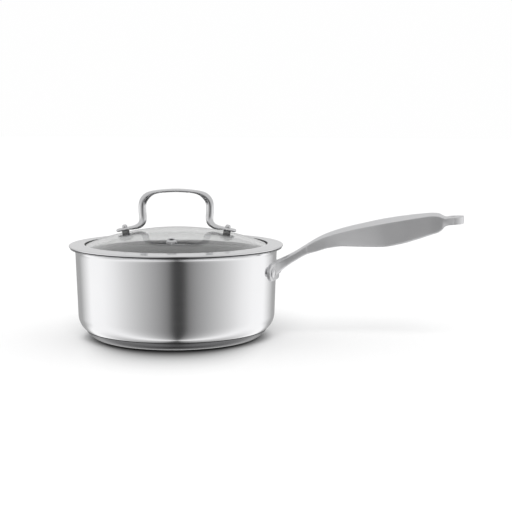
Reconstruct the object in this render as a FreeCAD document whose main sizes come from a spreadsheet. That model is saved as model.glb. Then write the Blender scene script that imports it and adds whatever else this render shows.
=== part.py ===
import FreeCAD, Part
import Sketcher
import math
import os
import re

# Saucepan with a glass lid, as a parametric document in millimetres.
# Origin: on the pot's axis at the underside of its base.  +Z is up, the long handle points along +X.
# The lid rests on the pot, turned a little about +Z from the long handle.

doc = FreeCAD.newDocument("saucepan")
sheet = doc.addObject("Spreadsheet::Sheet", "dims")

DIMENSIONS = {
    # pot: a drawn shell whose wall leans outward from a rounded corner to a flared rim
    "wall_thickness": 1.0, "wall_lean": 2.0, "corner_radius": 17.0, "corner_center": 70.45,
    "floor_underside": 5.0, "flare_radius": 4.5, "flare_start": 76.0,
    # base: an aluminium disc under the floor, closed in by a steel cap
    "cap_thickness": 0.8, "cap_flat_radius": 66.7, "cap_bend": 16.1, "cap_rim_radius": 80.61,
    "cap_rim_height": 8.0, "cap_lip_radius": 80.1, "cap_lip_height": 7.9, "core_rim_height": 7.0,
    # riveted flange of the long handle
    "flange_low": 53.7, "flange_high": 69.3,
    "flange_thickness": 3.0, "flange_angle": 28.8, "flange_end_radius": 7.4, "flange_bevel": 0.7,
    "rivet_angle": 10.0, "rivet_height": 61.5, "rivet_shank": 2.5, "rivet_head": 4.4,
    "rivet_dome": 1.9, "rivet_tail": 4.2, "rivet_tail_height": 1.1, "rivet_seat_gap": 0.26,
    # grip: a hollow shell welded to the neck, with a flat loop at its end
    "grip_wall": 1.5, "tang_gap": 0.4, "loop_thickness": 6.7, "loop_radius": 8.6, "loop_center": 244.2,
    "loop_root": 231.0, "loop_hole": 4.5, "loop_low": 104.25, "loop_tilt": 4.5,
    # how the sections of neck and grip are drawn: bulge of the sides, rise of the sole, and the shares
    # of an inset that the ridges, the shoulders and the sole move by
    "side_bulge": 1.6, "sole_rise": 1.2, "ridge_share": 1.2, "shoulder_share": 0.7, "sole_share": 0.6,
    # glass dome
    "dome_radius": 228.0, "dome_top": 97.7, "glass_thickness": 4.0, "glass_edge": 86.4,
    # rolled ring: top face that falls outward to a thin roll on the rim, cup that holds the glass's edge
    "ring_sheet": 0.6, "ring_radius": 95.0, "ring_top": 84.2, "ring_edge": 83.4, "ring_underside": 81.6,
    "ring_mouth": 81.3, "ring_cup": 87.6, "ring_cup_low": 75.4, "ring_cup_mouth": 82.5,
    "gasket_top_radius": 80.8, "gasket_low_radius": 83.2,
    # steam vent
    "vent_offset": 52.0, "vent_bore": 1.6, "vent_tube": 3.0, "vent_flange": 4.6, "vent_flange_height": 0.9,
    "vent_taper": 0.6, "vent_gap": 0.1,
    # lid handle and the two stacks that fasten it through the glass
    "lid_turn": 10.0, "foot_offset": 45.0, "foot_thickness": 2.8, "foot_tip": 53.5, "foot_heel": 36.0,
    "foot_tip_set": 0.4, "foot_bend": 39.5, "foot_heel_bend": 10.2, "instep_bend": 7.3,
    "strap_width": 12.0, "strap_edge": 1.1, "grip_top": 132.3, "grip_depth": 2.9,
    "leg_outer": 33.4, "leg_inner": 26.7, "leg_low": 106.0, "leg_high": 117.8,
    "crown_half": 20.0, "crown_drop": 2.2, "crown_bend": 92.0, "shoulder_bend": 14.8,
    "palm_half": 16.5, "palm_drop": 3.9, "palm_bend": 136.0, "palm_end": 20.8, "palm_end_drop": 7.2,
    "palm_corner": 7.0, "palm_corner_drop": 12.8,
    "stack_shank": 2.0, "stack_hole": 2.8, "stack_gap": 0.05, "spacer_height": 1.87,
    "spacer_radius": 3.5, "spacer_taper": 0.3,
    "stack_head": 2.4, "stack_head_side": 0.5, "stack_dome": 2.2, "grommet_radius": 6.2, "grommet_gap": 0.12,
    "grommet_height": 1.9, "washer_radius": 5.4, "washer_height": 0.9, "stack_tail": 3.2,
    "stack_tail_height": 1.1,
    # holes are cut along their axis from inside the metal or glass out through it
    "drill_reach": 40.0, "wall_drill_start": 80.0, "dome_drill_depth": 10.0, "bracket_rim_margin": 0.3,
}
for row, (alias, number) in enumerate(DIMENSIONS.items(), start=1):
    sheet.set("A%d" % row, alias)
    sheet.set("B%d" % row, str(number))
    sheet.setAlias("B%d" % row, alias)
doc.recompute()

DOME = "(dome_top - dome_radius + sqrt(dome_radius ^ 2 - (%s) ^ 2))"
DOME_INSIDE = "(dome_top - dome_radius + sqrt((dome_radius - glass_thickness) ^ 2 - (%s) ^ 2))"
RING_ROLL = "((ring_edge - ring_underside) / 2)"
RING_FALL = "((ring_top - ring_edge) / (ring_radius - " + RING_ROLL + " - ring_mouth))"
UNDER_RING_FACE = "(ring_top - ring_sheet - " + RING_FALL + " * ((%s) - ring_mouth))"


def bind(text):
    """An expression with each bare dimension name written as a cell of the sheet."""
    return re.sub(r"[a-z_]+", lambda m: "dims." + m.group() if m.group() in DIMENSIONS else m.group(), text)


def value(text):
    return float(sheet.evalExpression(bind(text)))


def new_body(name):
    body = doc.addObject("PartDesign::Body", name)
    body.Label = name
    return body


def new_sketch(body, name, plane):
    sketch = body.newObject("Sketcher::SketchObject", name)
    support = next(o for o in body.Origin.OriginFeatures if o.Role == plane)
    sketch.AttachmentSupport = [(support, "")]
    sketch.MapMode = "FlatFace"
    return sketch


def pin(sketch, constraint, name, expression):
    """Add a dimension to a sketch and drive it by an expression."""
    index = sketch.addConstraint(Sketcher.Constraint(*constraint, value(expression)))
    sketch.renameConstraint(index, name)
    sketch.setExpression("Constraints." + name, bind(expression))


def outline(sketch, corners):
    """A closed outline.  A corner is (x, y), or (x, y, radius) where the edge that leaves it is an arc:
    a positive radius bulges to the right of the way round, a negative one to the left."""
    points = [FreeCAD.Vector(value(c[0]), value(c[1]), 0) for c in corners]
    starts = []
    for index, corner in enumerate(corners):
        here, there = points[index], points[(index + 1) % len(points)]
        if len(corner) == 2:
            sketch.addGeometry(Part.LineSegment(here, there), False)
            starts.append((1, 2))
            continue
        bow = value(corner[2])
        chord = there - here
        left = FreeCAD.Vector(-chord.y, chord.x, 0).normalize()
        reach = math.sqrt(max(bow ** 2 - (chord.Length / 2) ** 2, 0.0))
        center = (here + there) * 0.5 + left * math.copysign(reach, bow)
        first, last = (here, there) if bow > 0 else (there, here)
        angles = [math.atan2(p.y - center.y, p.x - center.x) for p in (first, last)]
        circle = Part.Circle(center, FreeCAD.Vector(0, 0, 1), abs(bow))
        sketch.addGeometry(Part.ArcOfCircle(circle, angles[0], angles[1]), False)
        starts.append((1, 2) if bow > 0 else (2, 1))
    for index, corner in enumerate(corners):
        after = (index + 1) % len(corners)
        meeting = ("Coincident", index, starts[index][1], after, starts[after][0])
        sketch.addConstraint(Sketcher.Constraint(*meeting))
        for axis, (kind, zero_line) in enumerate((("DistanceX", -2), ("DistanceY", -1))):
            if abs(value(corner[axis])) < 1e-9:
                spot = ("PointOnObject", index, starts[index][0], zero_line)
                sketch.addConstraint(Sketcher.Constraint(*spot))
            else:
                spot = (kind, -1, 1, index, starts[index][0])
                pin(sketch, spot, "%s%d" % ("xy"[axis], index), corner[axis])
        if len(corner) == 3:
            radius = corner[2].lstrip("-")
            pin(sketch, ("Radius", index), "bow%d" % index, radius)
    return sketch


def revolve(body, name, corners, angle="360", axis="V_Axis"):
    """Turn an outline in the XZ plane about its vertical (or horizontal) axis."""
    sketch = outline(new_sketch(body, name + "_outline", "XZ_Plane"), corners)
    turn = body.newObject("PartDesign::Revolution", name)
    turn.Profile = sketch
    turn.ReferenceAxis = (sketch, [axis])
    turn.Midplane = True
    turn.setExpression("Angle", bind(angle))
    return turn


def drill(body, name, radius, place):
    """Cut a round hole along the local Z of a place."""
    hole = body.newObject("PartDesign::SubtractiveCylinder", name)
    hole.Placement = place
    hole.setExpression("Radius", bind(radius))
    hole.setExpression("Height", bind("drill_reach"))
    return hole


def radial_place(angle, height):
    """A place on a ray from the pot's axis inside the wall, its local Z pointing outward along the ray."""
    spin = FreeCAD.Rotation(FreeCAD.Vector(0, 0, 1), angle)
    tip = FreeCAD.Rotation(FreeCAD.Vector(0, 1, 0), 90)
    out = spin.multVec(FreeCAD.Vector(value("wall_drill_start"), 0, 0))
    return FreeCAD.Placement(out + FreeCAD.Vector(0, 0, height), spin * tip)


def dome_place(offset, angle, drop=0.0):
    """A place on the dome's outer surface, its local Z along the glass's normal."""
    radius = value("dome_radius")
    slope = math.degrees(math.asin(offset / radius))
    spin = FreeCAD.Rotation(FreeCAD.Vector(0, 0, 1), angle)
    lean = spin * FreeCAD.Rotation(FreeCAD.Vector(0, 1, 0), slope)
    center = FreeCAD.Vector(0, 0, value("dome_top") - radius)
    return FreeCAD.Placement(center + lean.multVec(FreeCAD.Vector(0, 0, radius - drop)), lean)


# ---- pot ------------------------------------------------------------------------------------------
CORNER_HEIGHT = "(floor_underside + corner_radius)"
WALL_LOW = ("corner_center + (%s) * cos(wall_lean)", CORNER_HEIGHT + " - (%s) * sin(wall_lean)")


def wall_low(offset):
    return [part % offset for part in WALL_LOW]


WALL_RADIUS = ("(corner_center + corner_radius * cos(wall_lean) + (%s - " + CORNER_HEIGHT
               + " + corner_radius * sin(wall_lean)) * tan(wall_lean))")
INNER_TOP = (WALL_RADIUS % "flare_start" + " - wall_thickness * cos(wall_lean)",
             "flare_start + wall_thickness * sin(wall_lean)")
FLARE_CENTER = (WALL_RADIUS % "flare_start" + " + flare_radius * cos(wall_lean)",
                "flare_start - flare_radius * sin(wall_lean)")


def make_pot_body():
    body = new_body("pot_body")
    inner = "(corner_radius - wall_thickness)"
    revolve(body, "pot_shell", [
        ("0", "floor_underside"),
        ("corner_center", "floor_underside", "corner_radius"),
        (*wall_low("corner_radius"),),
        (WALL_RADIUS % "flare_start", "flare_start", "-flare_radius"),
        (FLARE_CENTER[0], FLARE_CENTER[1] + " + flare_radius"),
        (FLARE_CENTER[0], FLARE_CENTER[1] + " + flare_radius + wall_thickness",
         "(flare_radius + wall_thickness)"),
        INNER_TOP,
        (*wall_low(inner), "-" + inner),
        ("corner_center", "floor_underside + wall_thickness"),
        ("0", "floor_underside + wall_thickness"),
    ])
    for side, sign in (("front", -1), ("rear", 1)):
        place = radial_place(sign * value("rivet_angle"), value("rivet_height"))
        drill(body, "wall_hole_" + side, "rivet_shank", place)
    return body


def make_base_cap():
    body = new_body("base_cap")
    inside_bend = "((cap_lip_radius - cap_flat_radius) ^ 2 + (cap_lip_height - cap_thickness) ^ 2)"
    inside_bend += " / (2 * (cap_lip_height - cap_thickness))"
    revolve(body, "cap_shell", [
        ("0", "0"),
        ("cap_flat_radius", "0", "cap_bend"),
        ("cap_rim_radius", "cap_rim_height"),
        ("cap_lip_radius", "cap_lip_height", "-(" + inside_bend + ")"),
        ("cap_flat_radius", "cap_thickness"),
        ("0", "cap_thickness"),
    ])
    return body


def make_base_core():
    """The disc fills the space between the pot's floor and the cap."""
    body = new_body("base_core")
    bend = "(((cap_lip_radius - cap_flat_radius) ^ 2 + (cap_lip_height - cap_thickness) ^ 2)"
    bend += " / (2 * (cap_lip_height - cap_thickness)))"
    rim = "cap_flat_radius + sqrt(%s ^ 2 - (%s + cap_thickness - core_rim_height) ^ 2)" % (bend, bend)
    under_corner = "corner_center + sqrt(corner_radius ^ 2 - (" + CORNER_HEIGHT + " - core_rim_height) ^ 2)"
    revolve(body, "core_disc", [
        ("0", "cap_thickness"),
        ("cap_flat_radius", "cap_thickness", bend),
        (rim, "core_rim_height"),
        (under_corner, "core_rim_height", "-corner_radius"),
        ("corner_center", "floor_underside"),
        ("0", "floor_underside"),
    ])
    return body


# ---- long handle ----------------------------------------------------------------------------------
# Cross-sections across the handle: distance from the pot's axis, half-width at the ridges, height of
# the crown, of the two ridges and of the keel, and half-width of the keel.
NECK_SECTIONS = [
    (91.0, 8.2, 70.6, 69.2, 57.6, 4.6),
    (98.0, 7.4, 74.3, 73.0, 64.0, 4.0),
    (108.0, 7.3, 79.6, 78.4, 71.0, 3.8),
    (118.5, 8.0, 86.3, 84.9, 76.9, 4.0),
]
GRIP_SECTIONS = [
    (118.5, 8.0, 86.3, 84.9, 76.9, 4.0),
    (127.0, 8.7, 91.5, 89.7, 79.5, 4.2),
    (137.0, 10.0, 96.2, 93.8, 82.6, 4.5),
    (150.0, 12.0, 100.6, 97.8, 84.4, 5.0),
    (166.0, 14.0, 104.7, 101.8, 84.4, 5.6),
    (184.0, 15.4, 108.8, 105.7, 84.7, 6.0),
    (200.0, 15.0, 111.6, 108.7, 87.6, 6.0),
    (215.0, 13.2, 113.6, 111.3, 92.2, 5.6),
    (227.0, 11.2, 114.6, 113.0, 96.4, 5.0),
    (235.0, 9.4, 112.6, 111.6, 100.6, 4.4),
]
SECTION_COLUMNS = ("along", "ridge", "crown", "shoulder", "keel", "sole")


def add_sections(prefix, sections):
    """Put a list of cross-sections into the sheet, each value in a cell of its own."""
    for number, section in enumerate(sections):
        for column, size in zip(SECTION_COLUMNS, section):
            alias = "%s_%s_%s" % (prefix, column, "abcdefghijklm"[number])
            row = len(DIMENSIONS) + 1
            DIMENSIONS[alias] = size
            sheet.set("A%d" % row, alias)
            sheet.set("B%d" % row, str(size))
            sheet.setAlias("B%d" % row, alias)
    doc.recompute()


def loft_sections(body, name, prefix, letters, inset="0", kind="PartDesign::AdditiveLoft"):
    """A smooth loft through cross-sections, drawn in by an inset for a cavity or a tang."""
    sketches = []
    for letter in letters:
        cell = {column: "%s_%s_%s" % (prefix, column, letter) for column in SECTION_COLUMNS}
        half = "(%s - ridge_share * %s)" % (cell["ridge"], inset)
        sole = "(%s - sole_share * %s)" % (cell["sole"], inset)
        shoulder = "(%s - shoulder_share * %s)" % (cell["shoulder"], inset)
        rise = "(%s - %s)" % (cell["crown"], cell["shoulder"])
        keel = "(%s + %s)" % (cell["keel"], inset)
        side = "side_bulge * (%s - %s - sole_rise)" % (cell["shoulder"], cell["keel"])
        sketch = new_sketch(body, "%s_%s" % (name, letter), "YZ_Plane")
        sketch.setExpression("AttachmentOffset.Base.z", bind(cell["along"]))
        outline(sketch, [
            (sole, keel + " + sole_rise", side),
            (half, shoulder, "(%s ^ 2 + %s ^ 2) / (2 * %s)" % (half, rise, rise)),
            ("-" + half, shoulder, side),
            ("-" + sole, keel + " + sole_rise", "(%s ^ 2 + sole_rise ^ 2) / (2 * sole_rise)" % sole),
        ])
        sketches.append(sketch)
    loft = body.newObject(kind, name)
    loft.Profile = sketches[0]
    loft.Sections = sketches[1:]
    loft.Ruled = False
    return loft


def fillet(body, name, base, radius, wanted):
    """Round the edges of a feature that a test picks."""
    doc.recompute()
    edges = ["Edge%d" % (i + 1) for i, edge in enumerate(base.Shape.Edges) if wanted(edge)]
    rounding = body.newObject("PartDesign::Fillet", name)
    rounding.Base = (base, edges)
    rounding.setExpression("Radius", bind(radius))
    return rounding


def make_handle_bracket():
    """A curved flange on the pot's wall, and a neck that rises from it and plugs into the grip."""
    body = new_body("handle_bracket")
    flange = revolve(body, "flange", [
        (WALL_RADIUS % "flange_low", "flange_low"),
        (WALL_RADIUS % "flange_low" + " + flange_thickness", "flange_low"),
        (WALL_RADIUS % "flange_high" + " + flange_thickness", "flange_high"),
        (WALL_RADIUS % "flange_high", "flange_high"),
    ], "flange_angle")
    thickness = value("flange_thickness")

    def is_corner(edge):
        ends = [v.Point for v in edge.Vertexes]
        level = abs(ends[0].z - ends[1].z) < 1e-6
        return edge.Curve.TypeId == "Part::GeomLine" and level and abs(edge.Length - thickness) < 0.1

    rounded = fillet(body, "flange_ends", flange, "flange_end_radius", is_corner)
    doc.recompute()
    bevel = body.newObject("PartDesign::Chamfer", "flange_bevel_edge")
    outer = value(WALL_RADIUS % "flange_low" + " + flange_thickness - bracket_rim_margin")
    rim = ["Edge%d" % (i + 1) for i, edge in enumerate(rounded.Shape.Edges)
           if min(math.hypot(v.X, v.Y) for v in edge.Vertexes) > outer]
    bevel.Base = (rounded, rim)
    bevel.setExpression("Size", bind("flange_bevel"))
    loft_sections(body, "neck", "neck", "abcd")
    loft_sections(body, "tang", "grip", "abc", "(grip_wall + tang_gap)")
    for side, sign in (("front", -1), ("rear", 1)):
        place = radial_place(sign * value("rivet_angle"), value("rivet_height"))
        drill(body, "flange_hole_" + side, "rivet_shank", place)
    return body


def make_handle_grip():
    body = new_body("handle_grip")
    loft_sections(body, "grip", "grip", "abcdefghij")
    sketch = new_sketch(body, "loop_outline", "XY_Plane")
    tilt = FreeCAD.Rotation(FreeCAD.Vector(0, 1, 0), -value("loop_tilt"))
    sketch.AttachmentOffset = FreeCAD.Placement(
        FreeCAD.Vector(value("loop_root"), 0, value("loop_low")), tilt)
    end = "(loop_center - loop_root)"
    outline(sketch, [
        ("0", "-loop_radius"),
        (end, "-loop_radius", "loop_radius"),
        (end + " + loop_radius", "0", "loop_radius"),
        (end, "loop_radius"),
        ("0", "loop_radius"),
    ])
    pad = body.newObject("PartDesign::Pad", "loop")
    pad.Profile = sketch
    pad.setExpression("Length", bind("loop_thickness"))
    doc.recompute()
    loft_sections(body, "cavity", "grip", "abcdefghi", "grip_wall", "PartDesign::SubtractiveLoft")
    place = FreeCAD.Placement(FreeCAD.Vector(value("loop_root"), 0, value("loop_low")), tilt)
    offset = FreeCAD.Placement(FreeCAD.Vector(value(end), 0, -value("drill_reach / 2")), FreeCAD.Rotation())
    drill(body, "loop_hole_cut", "loop_hole", place * offset)
    return body


def make_handle_rivet(side, sign):
    """Solid rivet: domed head on the flange, flat head inside the pot."""
    body = new_body("handle_rivet_" + side)
    dome_bow = "(rivet_head ^ 2 + rivet_dome ^ 2) / (2 * rivet_dome)"
    inner_face = WALL_RADIUS % "rivet_height" + " - wall_thickness - rivet_seat_gap"
    outer_face = WALL_RADIUS % "rivet_height" + " + flange_thickness + rivet_seat_gap"
    revolve(body, "rivet_" + side, [
        (inner_face + " - rivet_tail_height", "0"),
        (outer_face + " + rivet_dome", "0", dome_bow),
        (outer_face, "rivet_head"),
        (outer_face, "rivet_shank"),
        (inner_face, "rivet_shank"),
        (inner_face, "rivet_tail"),
        (inner_face + " - rivet_tail_height", "rivet_tail"),
    ], axis="H_Axis")
    spin = FreeCAD.Rotation(FreeCAD.Vector(0, 0, 1), sign * value("rivet_angle"))
    body.Placement = FreeCAD.Placement(FreeCAD.Vector(0, 0, value("rivet_height")), spin)
    return body


# ---- lid ------------------------------------------------------------------------------------------
def make_lid_glass():
    body = new_body("lid_glass")
    revolve(body, "dome", [
        ("0", "dome_top - glass_thickness", "-(dome_radius - glass_thickness)"),
        ("glass_edge", DOME_INSIDE % "glass_edge"),
        ("glass_edge", DOME % "glass_edge", "dome_radius"),
        ("0", "dome_top"),
    ])
    turn = value("lid_turn")
    holes = {"left": (value("foot_offset"), turn + 180, "stack_hole"),
             "right": (value("foot_offset"), turn, "stack_hole"),
             "vent": (value("vent_offset"), turn - 90, "vent_tube")}
    for name, (offset, angle, radius) in holes.items():
        drill(body, "glass_hole_" + name, radius, dome_place(offset, angle, value("dome_drill_depth")))
    return body


def make_lid_ring():
    body = new_body("lid_ring")
    inner_roll = "(" + RING_ROLL + " - ring_sheet)"
    middle = "(ring_underside + " + RING_ROLL + ")"
    turn = "(ring_radius - " + RING_ROLL + ")"
    revolve(body, "ring_band", [
        ("ring_mouth", "ring_top - ring_sheet"),
        (turn, "ring_edge - ring_sheet", "-" + inner_roll),
        (turn + " + " + inner_roll, middle, "-" + inner_roll),
        (turn, "ring_underside + ring_sheet"),
        ("ring_cup - ring_sheet", "ring_underside + ring_sheet"),
        ("ring_cup - ring_sheet", "ring_cup_low + ring_sheet"),
        ("ring_cup_mouth", "ring_cup_low + ring_sheet"),
        ("ring_cup_mouth", "ring_cup_low"),
        ("ring_cup", "ring_cup_low"),
        ("ring_cup", "ring_underside"),
        (turn, "ring_underside", RING_ROLL),
        ("ring_radius", middle, RING_ROLL),
        (turn, "ring_edge"),
        ("ring_mouth", "ring_top"),
    ])
    return body


def make_lid_gasket():
    """A silicone channel that wraps the glass's edge and fills the ring."""
    body = new_body("lid_gasket")
    wall = "ring_cup - ring_sheet"
    revolve(body, "gasket_channel", [
        ("gasket_low_radius", "ring_cup_low + ring_sheet"),
        (wall, "ring_cup_low + ring_sheet"),
        (wall, UNDER_RING_FACE % wall),
        ("gasket_top_radius", UNDER_RING_FACE % "gasket_top_radius"),
        ("gasket_top_radius", DOME % "gasket_top_radius", "-dome_radius"),
        ("glass_edge", DOME % "glass_edge"),
        ("glass_edge", DOME_INSIDE % "glass_edge", "dome_radius - glass_thickness"),
        ("gasket_low_radius", DOME_INSIDE % "gasket_low_radius"),
    ])
    return body


def make_vent_eyelet():
    body = new_body("vent_eyelet")
    below = "(-glass_thickness - vent_gap)"
    revolve(body, "eyelet", [
        ("vent_bore", below + " - vent_flange_height"),
        ("vent_flange", below + " - vent_flange_height"),
        ("vent_flange", below),
        ("vent_tube", below),
        ("vent_tube", "stack_gap"),
        ("vent_flange", "stack_gap"),
        ("vent_flange - vent_taper", "vent_flange_height"),
        ("vent_bore", "vent_flange_height"),
    ])
    body.Placement = dome_place(value("vent_offset"), value("lid_turn") - 90)
    return body


def mirrored(corners, link):
    """The same run of corners on the other side, walked back; link bows the edge that leaves its end."""
    bows = [corner[2] if len(corner) == 3 else None for corner in corners[:-1]]
    bows = list(reversed(bows)) + [link]
    back = []
    for corner, bow in zip(reversed(corners), bows):
        spot = ("-(%s)" % corner[0], corner[1])
        back.append(spot if bow is None else (*spot, bow))
    return back


def make_lid_handle():
    """A bent steel strap: a level grip, two legs and two feet that follow the dome's slope."""
    body = new_body("lid_handle")
    cosine = "(sqrt(dome_radius ^ 2 - foot_offset ^ 2) / dome_radius)"
    sole = "(" + DOME % "foot_offset" + " + spacer_height / " + cosine
    sole += " - foot_offset / (dome_radius * " + cosine + ") * (%s - foot_offset))"
    instep = "(" + sole + " + foot_thickness / " + cosine + ")"
    outer = [
        ("foot_heel", sole % "foot_heel"),
        ("foot_tip - foot_tip_set", sole % "(foot_tip - foot_tip_set)"),
        ("foot_tip", instep % "foot_tip"),
        ("foot_bend", instep % "foot_bend", "-instep_bend"),
        ("leg_outer", "leg_low"),
        ("leg_outer", "leg_high", "shoulder_bend"),
        ("crown_half", "grip_top - crown_drop", "crown_bend"),
    ]
    inner = [
        ("-leg_inner", "leg_low"),
        ("-leg_inner", "grip_top - palm_corner_drop"),
        ("-palm_end", "grip_top - palm_end_drop", "-palm_corner"),
        ("-palm_half", "grip_top - palm_drop", "-palm_bend"),
    ]
    heel = "foot_heel_bend"
    corners = outer + mirrored(outer, heel) + inner + mirrored(inner, heel)
    pad = body.newObject("PartDesign::Pad", "strap")
    pad.Profile = outline(new_sketch(body, "strap_outline", "XZ_Plane"), corners)
    pad.Midplane = True
    pad.setExpression("Length", bind("strap_width"))
    half_width = value("strap_width / 2")

    def on_side(edge):
        return all(abs(abs(v.Y) - half_width) < 1e-6 for v in edge.Vertexes)

    fillet(body, "strap_rounding", pad, "strap_edge", on_side)
    for side, angle in (("left", 180), ("right", 0)):
        place = dome_place(value("foot_offset"), angle, value("dome_drill_depth"))
        drill(body, "foot_hole_" + side, "stack_shank", place)
    body.Placement = FreeCAD.Placement(
        FreeCAD.Vector(), FreeCAD.Rotation(FreeCAD.Vector(0, 0, 1), value("lid_turn")))
    return body


GROMMET_TOP = "(-glass_thickness - grommet_gap)"
GROMMET_LOW = "(-glass_thickness - grommet_gap - grommet_height)"
WASHER_LOW = "(-glass_thickness - grommet_gap - grommet_height - washer_height)"
STACK_PIECES = {
    "lid_spacer": [
        ("stack_shank", "stack_gap"),
        ("spacer_radius", "stack_gap"),
        ("spacer_radius - spacer_taper", "spacer_height"),
        ("stack_shank", "spacer_height"),
    ],
    "lid_grommet": [
        ("stack_shank", GROMMET_LOW),
        ("grommet_radius", GROMMET_LOW),
        ("grommet_radius", GROMMET_TOP),
        ("stack_hole", GROMMET_TOP),
        ("stack_hole", "-stack_gap"),
        ("stack_shank", "-stack_gap"),
    ],
    "lid_washer": [
        ("stack_shank", WASHER_LOW),
        ("washer_radius", WASHER_LOW),
        ("washer_radius", GROMMET_LOW),
        ("stack_shank", GROMMET_LOW),
    ],
    "lid_rivet": [
        ("0", WASHER_LOW + " - stack_tail_height"),
        ("stack_tail", WASHER_LOW + " - stack_tail_height"),
        ("stack_tail", WASHER_LOW),
        ("stack_shank", WASHER_LOW),
        ("stack_shank", "spacer_height + foot_thickness"),
        ("stack_head", "spacer_height + foot_thickness"),
        ("stack_head", "spacer_height + foot_thickness + stack_head_side",
         "(stack_head ^ 2 + stack_dome ^ 2) / (2 * stack_dome)"),
        ("0", "spacer_height + foot_thickness + stack_head_side + stack_dome"),
    ],
}


def make_stack_piece(kind, side, angle):
    """One piece of the stack that fastens a foot through the glass, along the dome's normal."""
    body = new_body("%s_%s" % (kind, side))
    revolve(body, "%s_%s_turned" % (kind, side), STACK_PIECES[kind])
    body.Placement = dome_place(value("foot_offset"), value("lid_turn") + angle)
    return body


def make_model():
    add_sections("neck", NECK_SECTIONS)
    add_sections("grip", GRIP_SECTIONS)
    bodies = [make_pot_body(), make_base_core(), make_base_cap(), make_handle_bracket(), make_handle_grip()]
    bodies += [make_handle_rivet("front", -1), make_handle_rivet("rear", 1)]
    bodies += [make_lid_glass(), make_lid_ring(), make_lid_gasket(), make_vent_eyelet(), make_lid_handle()]
    for kind in STACK_PIECES:
        for side, angle in (("left", 180), ("right", 0)):
            bodies.append(make_stack_piece(kind, side, angle))
    return bodies


def export(bodies):
    doc.recompute()
    for item in doc.Objects:
        if "Invalid" in item.State or "Error" in item.State:
            raise RuntimeError("%s did not build: %s" % (item.Name, item.State))
    os.makedirs("parts", exist_ok=True)
    for body in bodies:
        shape = body.Shape
        if shape.isNull() or not shape.isValid() or len(shape.Solids) != 1:
            raise RuntimeError("%s is not one valid solid" % body.Label)
        shape.exportStep("parts/%s.step" % body.Label)
        box = shape.BoundBox
        print("%-20s %10.1f mm3  x %.1f..%.1f  y %.1f..%.1f  z %.1f..%.1f" % (
            body.Label, shape.Volume, box.XMin, box.XMax, box.YMin, box.YMax, box.ZMin, box.ZMax))


export(make_model())
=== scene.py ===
import math

import bpy
from mathutils import Matrix, Vector


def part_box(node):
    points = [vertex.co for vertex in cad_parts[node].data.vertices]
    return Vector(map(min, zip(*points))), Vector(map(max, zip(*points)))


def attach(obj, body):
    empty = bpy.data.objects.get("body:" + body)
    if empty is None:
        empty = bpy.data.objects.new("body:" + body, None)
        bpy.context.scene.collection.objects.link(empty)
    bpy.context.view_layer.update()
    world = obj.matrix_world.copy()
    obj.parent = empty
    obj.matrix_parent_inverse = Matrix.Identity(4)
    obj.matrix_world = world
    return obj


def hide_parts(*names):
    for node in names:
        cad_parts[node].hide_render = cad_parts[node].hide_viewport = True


# Stainless saucepan with a glass lid.  Outlines are in millimetres in the frame's own axes (origin
# on the pot's axis at the underside of the base, long handle along +X).  They are scaled once, when
# a mesh is made.
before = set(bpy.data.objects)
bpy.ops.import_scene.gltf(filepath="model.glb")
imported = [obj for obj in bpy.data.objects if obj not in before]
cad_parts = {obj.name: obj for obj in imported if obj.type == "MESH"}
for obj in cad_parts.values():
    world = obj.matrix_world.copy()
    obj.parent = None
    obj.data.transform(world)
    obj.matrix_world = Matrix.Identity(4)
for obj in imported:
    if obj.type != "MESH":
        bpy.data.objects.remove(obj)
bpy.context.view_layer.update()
MM = 0.001
CONTACT_GAP = 0.02  # between faces of different pieces that would otherwise lie in one plane


def node_box(node):
    """A CAD node's lowest and highest corner, in millimetres."""
    low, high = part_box(node)
    return Vector(low) / MM, Vector(high) / MM


# ---- outlines ----------------------------------------------------------------------------------
def outward(start, end):
    """Unit normal on the right of the way from start to end."""
    along = Vector((end[0] - start[0], end[1] - start[1])).normalized()
    return Vector((along.y, -along.x))


def rounded(corners, steps=7):
    """A counter-clockwise outline as [(x, z, nx, nz)].  A corner (x, z) is left as it is, and a
    corner (x, z, radius) is rounded off.  Corners on the axis, at x = 0, are poles."""
    outline = []
    count = len(corners)
    for index, corner in enumerate(corners):
        here = Vector(corner[:2])
        before = Vector(corners[index - 1][:2])
        after = Vector(corners[(index + 1) % count][:2])
        if here.x < 1e-9:
            normal = outward(here, after) if after.x > 1e-9 else outward(before, here)
            outline.append((0.0, here.y, 0.0, math.copysign(1.0, normal.y)))
            continue
        first, last = outward(before, here), outward(here, after)
        turn = math.atan2(first.x * last.y - first.y * last.x, first.dot(last))
        if len(corner) == 2 or abs(turn) < 1e-4:
            middle = (first + last).normalized()
            outline.append((here.x, here.y, middle.x, middle.y))
            continue
        radius = math.copysign(corner[2], turn)
        reach = abs(radius * math.tan(turn / 2))
        start = here + (before - here).normalized() * reach
        center = start - first * radius
        for step in range(steps + 1):
            spin = Matrix.Rotation(turn * step / steps, 2)
            normal = spin @ first
            point = center + normal * radius
            outline.append((point.x, point.y, normal.x, normal.y))
    return outline


def arc(center, radius, start, end, steps):
    """Points on a circle from one angle to another, in degrees."""
    points = []
    for step in range(steps + 1):
        angle = math.radians(start + (end - start) * step / steps)
        points.append((center[0] + radius * math.cos(angle), center[1] + radius * math.sin(angle)))
    return points


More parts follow.
